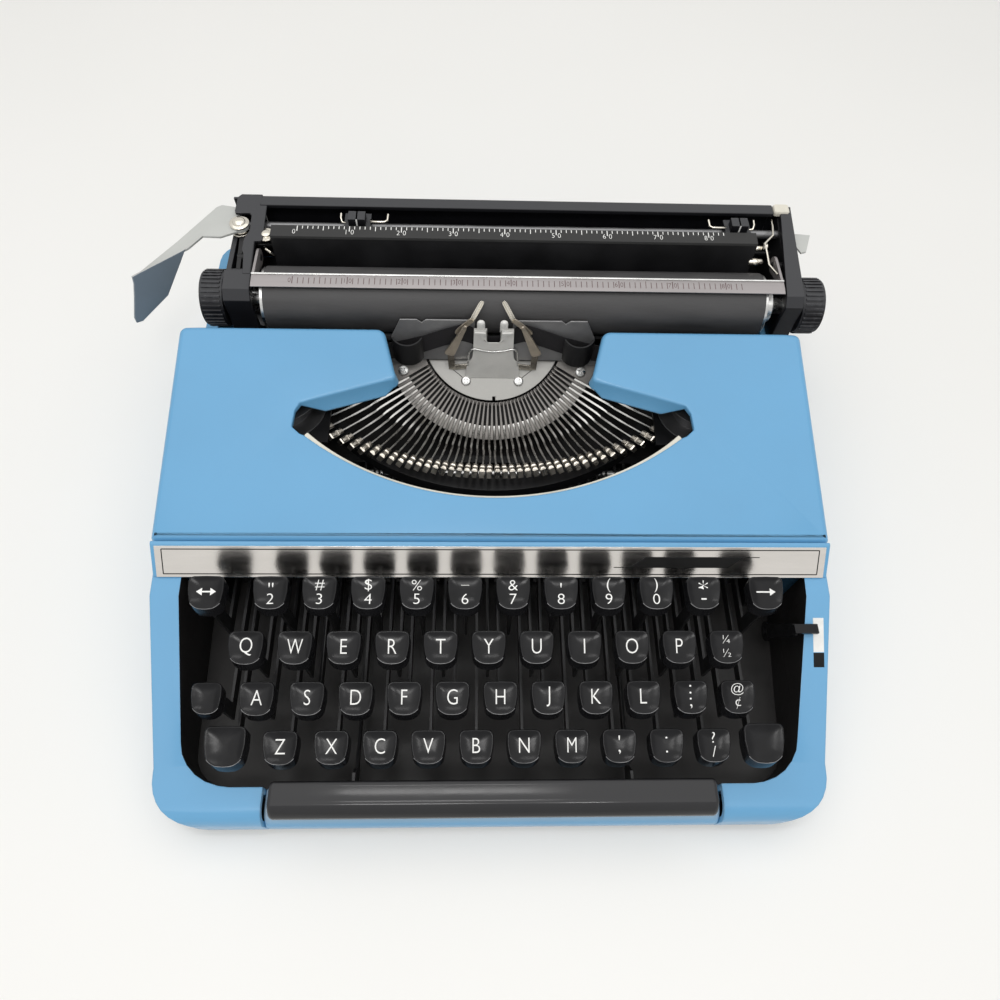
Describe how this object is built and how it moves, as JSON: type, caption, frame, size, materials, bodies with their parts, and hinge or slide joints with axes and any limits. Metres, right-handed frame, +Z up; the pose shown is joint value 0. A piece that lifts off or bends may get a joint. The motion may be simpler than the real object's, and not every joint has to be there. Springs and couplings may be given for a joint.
{
  "type": "portable typewriter",
  "caption": "Portable typewriter in a pale blue steel case, ribbon cover open over the type basket, carriage with ruled bail and return lever",
  "frame": {"origin": "on the table under the middle of the whole machine's box, carriage at its rest position", "axes": "+X to the typist's right, +Y from the space bar to the carriage, +Z up from the table"},
  "size_m": [0.3254, 0.286, 0.097],
  "materials": {
    "shell_blue": "satin enamel",
    "dark_keys": "polished",
    "charcoal": "satin",
    "black_steel": "satin black",
    "bright_steel": "brushed",
    "chrome": "polished",
    "cast_grey": "machined",
    "rubber": "matt",
    "silver_strip": "satin",
    "ribbon_fabric": "woven"
  },
  "bodies": {
    "machine": {"lower_case": "shell_blue", "front_lip": "shell_blue", "front_panel": "shell_blue", "nameplate": "silver_strip", "bottom_plate": "black_steel", "rubber_feet": "rubber", "chassis": "black_steel", "carriage_rail": "bright_steel", "segment": "cast_grey", "segment_plate": "bright_steel", "typebars": "bright_steel", "type_rest": "black_steel", "card_guide": "bright_steel", "key_fulcrum_rod": "bright_steel", "key_comb": "black_steel", "machine_screws": "bright_steel", "cover_hinge_pins": "bright_steel", "ribbon": "ribbon_fabric"},
    "carriage": {"carriage_frame": "black_steel", "left_end_cover": "charcoal", "right_end_cover": "charcoal", "carriage_back": "charcoal", "paper_table": "black_steel", "margin_scale": "black_steel", "margin_rail": "bright_steel", "escapement_rack": "bright_steel"},
    "platen_roller": {"platen": "rubber", "platen_shaft": "bright_steel", "left_knob": "charcoal", "right_knob": "charcoal", "line_space_ratchet": "bright_steel"},
    "ribbon_cover_body": {"ribbon_cover": "shell_blue"},
    "left_spool_body": {"left_spool": "bright_steel"},
    "right_spool_body": {"right_spool": "bright_steel"},
    "ribbon_vibrator_body": {"ribbon_vibrator": "bright_steel"},
    "left_margin_stop_body": {"left_margin_stop": "charcoal"},
    "right_margin_stop_body": {"right_margin_stop": "charcoal"},
    "paper_bail_body": {"paper_bail": "silver_strip"},
    "return_lever_body": {"return_lever": "shell_blue"},
    "paper_release_lever_body": {"paper_release_lever": "bright_steel"},
    "feed_roller_front_body": {"feed_roller_front": "rubber"},
    "feed_roller_rear_body": {"feed_roller_rear": "rubber"},
    "escapement_wheel_body": {"escapement_wheel": "bright_steel"},
    "mainspring_drum_body": {"mainspring_drum": "bright_steel"},
    "space_bar_body": {"space_bar": "dark_keys"},
    "shift_keys_body": {"shift_keys": "dark_keys"},
    "shift_lock_key_body": {"shift_lock_key": "dark_keys"},
    "margin_release_key_body": {"margin_release_key": "dark_keys"},
    "backspace_key_body": {"backspace_key": "dark_keys"},
    "ribbon_selector_body": {"ribbon_selector": "dark_keys"},
    "typebar_h_body": {"typebar_h": "bright_steel"},
    "key_h_body": {"key_h": "dark_keys"},
    "keys_left_little_body": {"keys_left_little": "dark_keys"},
    "keys_left_ring_body": {"keys_left_ring": "dark_keys"},
    "keys_left_middle_body": {"keys_left_middle": "dark_keys"},
    "keys_left_index_body": {"keys_left_index": "dark_keys"},
    "keys_right_index_body": {"keys_right_index": "dark_keys"},
    "keys_right_middle_body": {"keys_right_middle": "dark_keys"},
    "keys_right_ring_body": {"keys_right_ring": "dark_keys"},
    "keys_right_little_body": {"keys_right_little": "dark_keys"}
  },
  "joints": [
    {"name": "bail_lift", "type": "hinge", "parent": "carriage", "child": "paper_bail_body", "pos_m": [0.0157, 0.1, 0.0865], "axis": [-1, 0, 0], "range_deg": [0, 65]},
    {"name": "carriage_slide", "type": "slide", "parent": "machine", "child": "carriage", "axis": [1, 0, 0], "range_m": [-0.115, 0.093]},
    {"name": "cover_lift", "type": "hinge", "parent": "machine", "child": "ribbon_cover_body", "pos_m": [0.0052, -0.032, 0.0596], "axis": [1, 0, 0], "range_deg": [0, 60]},
    {"name": "key_left_little", "type": "hinge", "parent": "machine", "child": "keys_left_little_body", "pos_m": [0.0052, 0.025, 0.013], "axis": [1, 0, 0], "range_deg": [0, 5], "stiffness_Nm_per_rad": 0.35, "springref_deg": -11.46},
    {"name": "key_left_ring", "type": "hinge", "parent": "machine", "child": "keys_left_ring_body", "pos_m": [0.0052, 0.025, 0.013], "axis": [1, 0, 0], "range_deg": [0, 5], "stiffness_Nm_per_rad": 0.35, "springref_deg": -11.46},
    {"name": "key_left_middle", "type": "hinge", "parent": "machine", "child": "keys_left_middle_body", "pos_m": [0.0052, 0.025, 0.013], "axis": [1, 0, 0], "range_deg": [0, 5], "stiffness_Nm_per_rad": 0.35, "springref_deg": -11.46},
    {"name": "key_left_index", "type": "hinge", "parent": "machine", "child": "keys_left_index_body", "pos_m": [0.0052, 0.025, 0.013], "axis": [1, 0, 0], "range_deg": [0, 5], "stiffness_Nm_per_rad": 0.35, "springref_deg": -11.46},
    {"name": "key_h", "type": "hinge", "parent": "machine", "child": "key_h_body", "pos_m": [0.0052, 0.025, 0.013], "axis": [1, 0, 0], "range_deg": [0, 5], "stiffness_Nm_per_rad": 0.35, "springref_deg": -11.46},
    {"name": "key_right_index", "type": "hinge", "parent": "machine", "child": "keys_right_index_body", "pos_m": [0.0052, 0.025, 0.013], "axis": [1, 0, 0], "range_deg": [0, 5], "stiffness_Nm_per_rad": 0.35, "springref_deg": -11.46},
    {"name": "key_right_middle", "type": "hinge", "parent": "machine", "child": "keys_right_middle_body", "pos_m": [0.0052, 0.025, 0.013], "axis": [1, 0, 0], "range_deg": [0, 5], "stiffness_Nm_per_rad": 0.35, "springref_deg": -11.46},
    {"name": "key_right_ring", "type": "hinge", "parent": "machine", "child": "keys_right_ring_body", "pos_m": [0.0052, 0.025, 0.013], "axis": [1, 0, 0], "range_deg": [0, 5], "stiffness_Nm_per_rad": 0.35, "springref_deg": -11.46},
    {"name": "key_right_little", "type": "hinge", "parent": "machine", "child": "keys_right_little_body", "pos_m": [0.0052, 0.025, 0.013], "axis": [1, 0, 0], "range_deg": [0, 5], "stiffness_Nm_per_rad": 0.35, "springref_deg": -11.46},
    {"name": "key_space", "type": "hinge", "parent": "machine", "child": "space_bar_body", "pos_m": [0.0052, 0.025, 0.013], "axis": [1, 0, 0], "range_deg": [0, 2.2], "stiffness_Nm_per_rad": 1.2, "springref_deg": -17.19},
    {"name": "key_shift", "type": "hinge", "parent": "machine", "child": "shift_keys_body", "pos_m": [0.0052, 0.025, 0.013], "axis": [1, 0, 0], "range_deg": [0, 4], "stiffness_Nm_per_rad": 0.8, "springref_deg": -14.32},
    {"name": "key_shift_lock", "type": "hinge", "parent": "machine", "child": "shift_lock_key_body", "pos_m": [0.0052, 0.025, 0.013], "axis": [1, 0, 0], "range_deg": [0, 4], "stiffness_Nm_per_rad": 0.35, "springref_deg": -11.46},
    {"name": "key_margin_release", "type": "hinge", "parent": "machine", "child": "margin_release_key_body", "pos_m": [0.0052, 0.025, 0.013], "axis": [1, 0, 0], "range_deg": [0, 5], "stiffness_Nm_per_rad": 0.35, "springref_deg": -11.46},
    {"name": "key_backspace", "type": "hinge", "parent": "machine", "child": "backspace_key_body", "pos_m": [0.0052, 0.025, 0.013], "axis": [1, 0, 0], "range_deg": [0, 5], "stiffness_Nm_per_rad": 0.35, "springref_deg": -11.46},
    {"name": "left_stop_slide", "type": "slide", "parent": "carriage", "child": "left_margin_stop_body", "axis": [1, 0, 0], "range_m": [-0.034, 0.07]},
    {"name": "right_stop_slide", "type": "slide", "parent": "carriage", "child": "right_margin_stop_body", "axis": [1, 0, 0], "range_m": [-0.08, 0.008]},
    {"name": "platen_turn", "type": "hinge", "parent": "carriage", "child": "platen_roller", "pos_m": [0.0157, 0.086, 0.074], "axis": [1, 0, 0], "continuous": true},
    {"name": "paper_release_pull", "type": "hinge", "parent": "carriage", "child": "paper_release_lever_body", "pos_m": [0.1512, 0.114, 0.068], "axis": [1, 0, 0], "range_deg": [0, 20]},
    {"name": "return_lever_swing", "type": "hinge", "parent": "carriage", "child": "return_lever_body", "pos_m": [-0.1156, 0.115, 0.091], "axis": [0, 0, 1], "range_deg": [0, 12], "stiffness_Nm_per_rad": 0.05, "springref_deg": -8.59},
    {"name": "ribbon_selector_swing", "type": "hinge", "parent": "machine", "child": "ribbon_selector_body", "pos_m": [0.1322, -0.0614, 0.0183], "axis": [1, 0, 0], "range_deg": [-3, 18]},
    {"name": "spool_left_turn", "type": "hinge", "parent": "machine", "child": "left_spool_body", "pos_m": [-0.0948, 0.041, 0.05], "axis": [0, 0, 1], "continuous": true},
    {"name": "spool_right_turn", "type": "hinge", "parent": "machine", "child": "right_spool_body", "pos_m": [0.1052, 0.041, 0.05], "axis": [0, 0, 1], "continuous": true},
    {"name": "feed_front_turn", "type": "hinge", "parent": "carriage", "child": "feed_roller_front_body", "pos_m": [0.0157, 0.07914, 0.05703], "axis": [1, 0, 0], "continuous": true},
    {"name": "feed_rear_turn", "type": "hinge", "parent": "carriage", "child": "feed_roller_rear_body", "pos_m": [0.0157, 0.09285, 0.05703], "axis": [1, 0, 0], "continuous": true},
    {"name": "escapement_turn", "type": "hinge", "parent": "machine", "child": "escapement_wheel_body", "pos_m": [0.0052, 0.121, 0.04702], "axis": [0, 1, 0], "range_deg": [-840, 690]},
    {"name": "mainspring_turn", "type": "hinge", "parent": "machine", "child": "mainspring_drum_body", "pos_m": [-0.0928, 0.081, 0.018], "axis": [0, 0, 1], "range_deg": [-420, 420]},
    {"name": "typebar_strike", "type": "hinge", "parent": "machine", "child": "typebar_h_body", "pos_m": [0.00627, 0.0528, 0.02807], "axis": [-0.9997, -0.0204, -0.0154], "range_deg": [0, 86]},
    {"name": "vibrator_lift", "type": "slide", "parent": "machine", "child": "ribbon_vibrator_body", "axis": [0, 0, 1], "range_m": [0, 0.009]}
  ],
  "couplings": [
    {"joint": "spool_right_turn", "follows": "spool_left_turn", "ratio": 1},
    {"joint": "feed_front_turn", "follows": "platen_turn", "ratio": -5},
    {"joint": "feed_rear_turn", "follows": "platen_turn", "ratio": -5},
    {"joint": "escapement_turn", "follows": "carriage_slide", "rad_per_m": 123.68},
    {"joint": "mainspring_turn", "follows": "carriage_slide", "rad_per_m": 58.824},
    {"joint": "typebar_strike", "follows": "key_h", "ratio": 17},
    {"joint": "vibrator_lift", "follows": "key_h", "m_per_rad": 0.0917}
  ]
}
